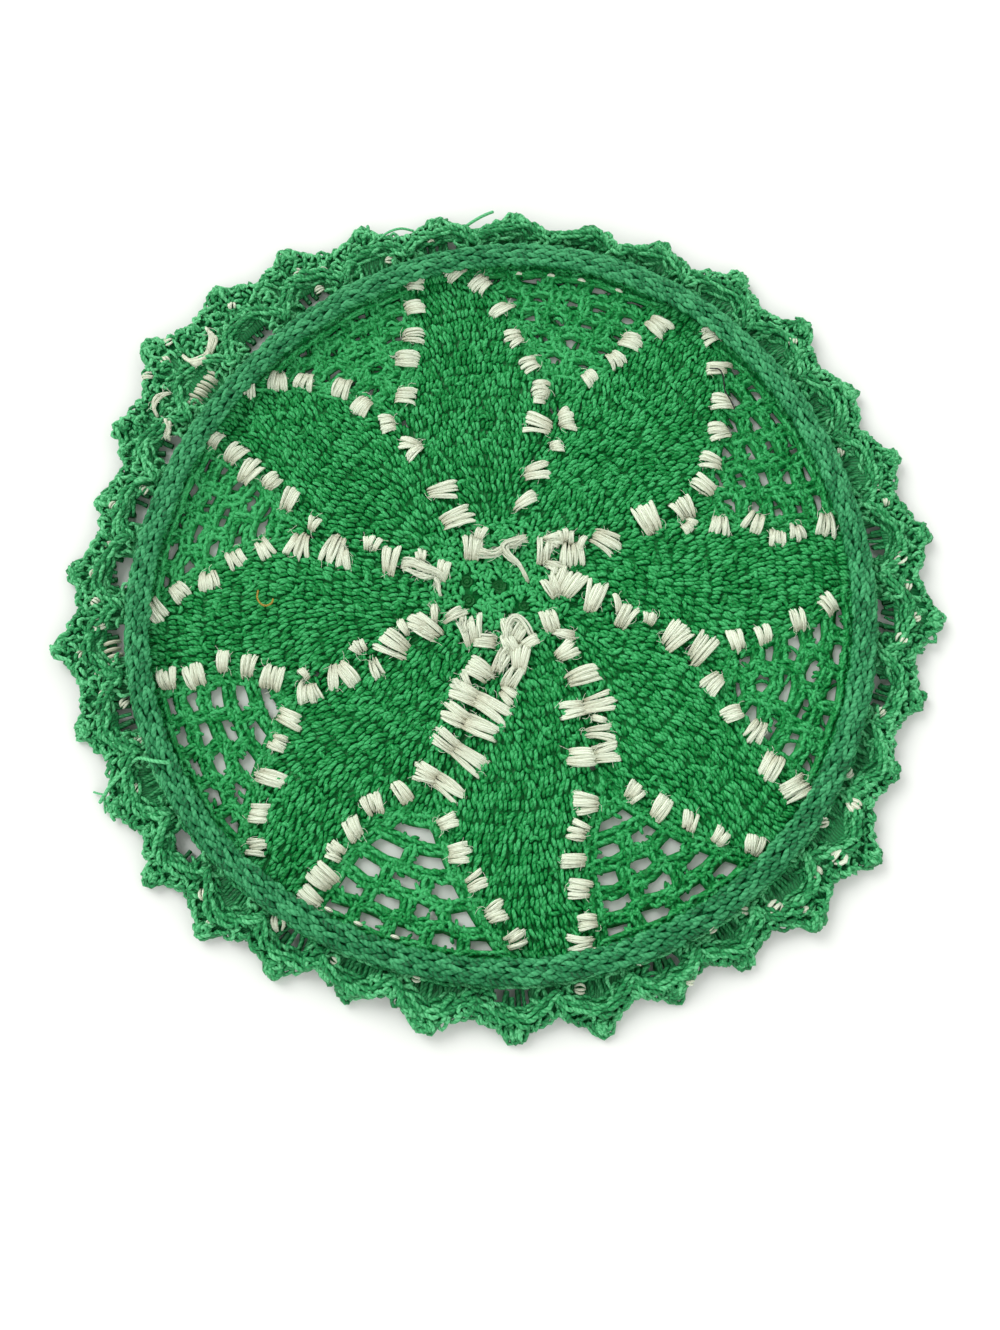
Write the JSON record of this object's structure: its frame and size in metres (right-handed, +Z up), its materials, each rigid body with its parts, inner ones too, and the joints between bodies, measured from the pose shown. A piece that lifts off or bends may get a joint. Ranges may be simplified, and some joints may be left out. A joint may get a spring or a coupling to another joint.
{
  "type": "lace doily",
  "caption": "Round crocheted table doily with leaf-shaped petals, chain-loop net, threaded white yarn, a raised cord ring and a ruffled scalloped edging.",
  "frame": {"origin": "middle of the doily's box on the table surface that it lies on", "axes": "+Z up out of the cloth, its upper side; +Y away from the viewer; the doily lies in the XY plane"},
  "size_m": [0.2463, 0.2358, 0.0082],
  "materials": {
    "crochet_green": "matte",
    "edging_green": "matte",
    "cord_green": "matte",
    "white_yarn": "matte"
  },
  "bodies": {
    "root": {"cloth": "crochet_green", "cord_ring": "cord_green", "edging": "edging_green", "white_yarn": "white_yarn"}
  },
  "joints": []
}
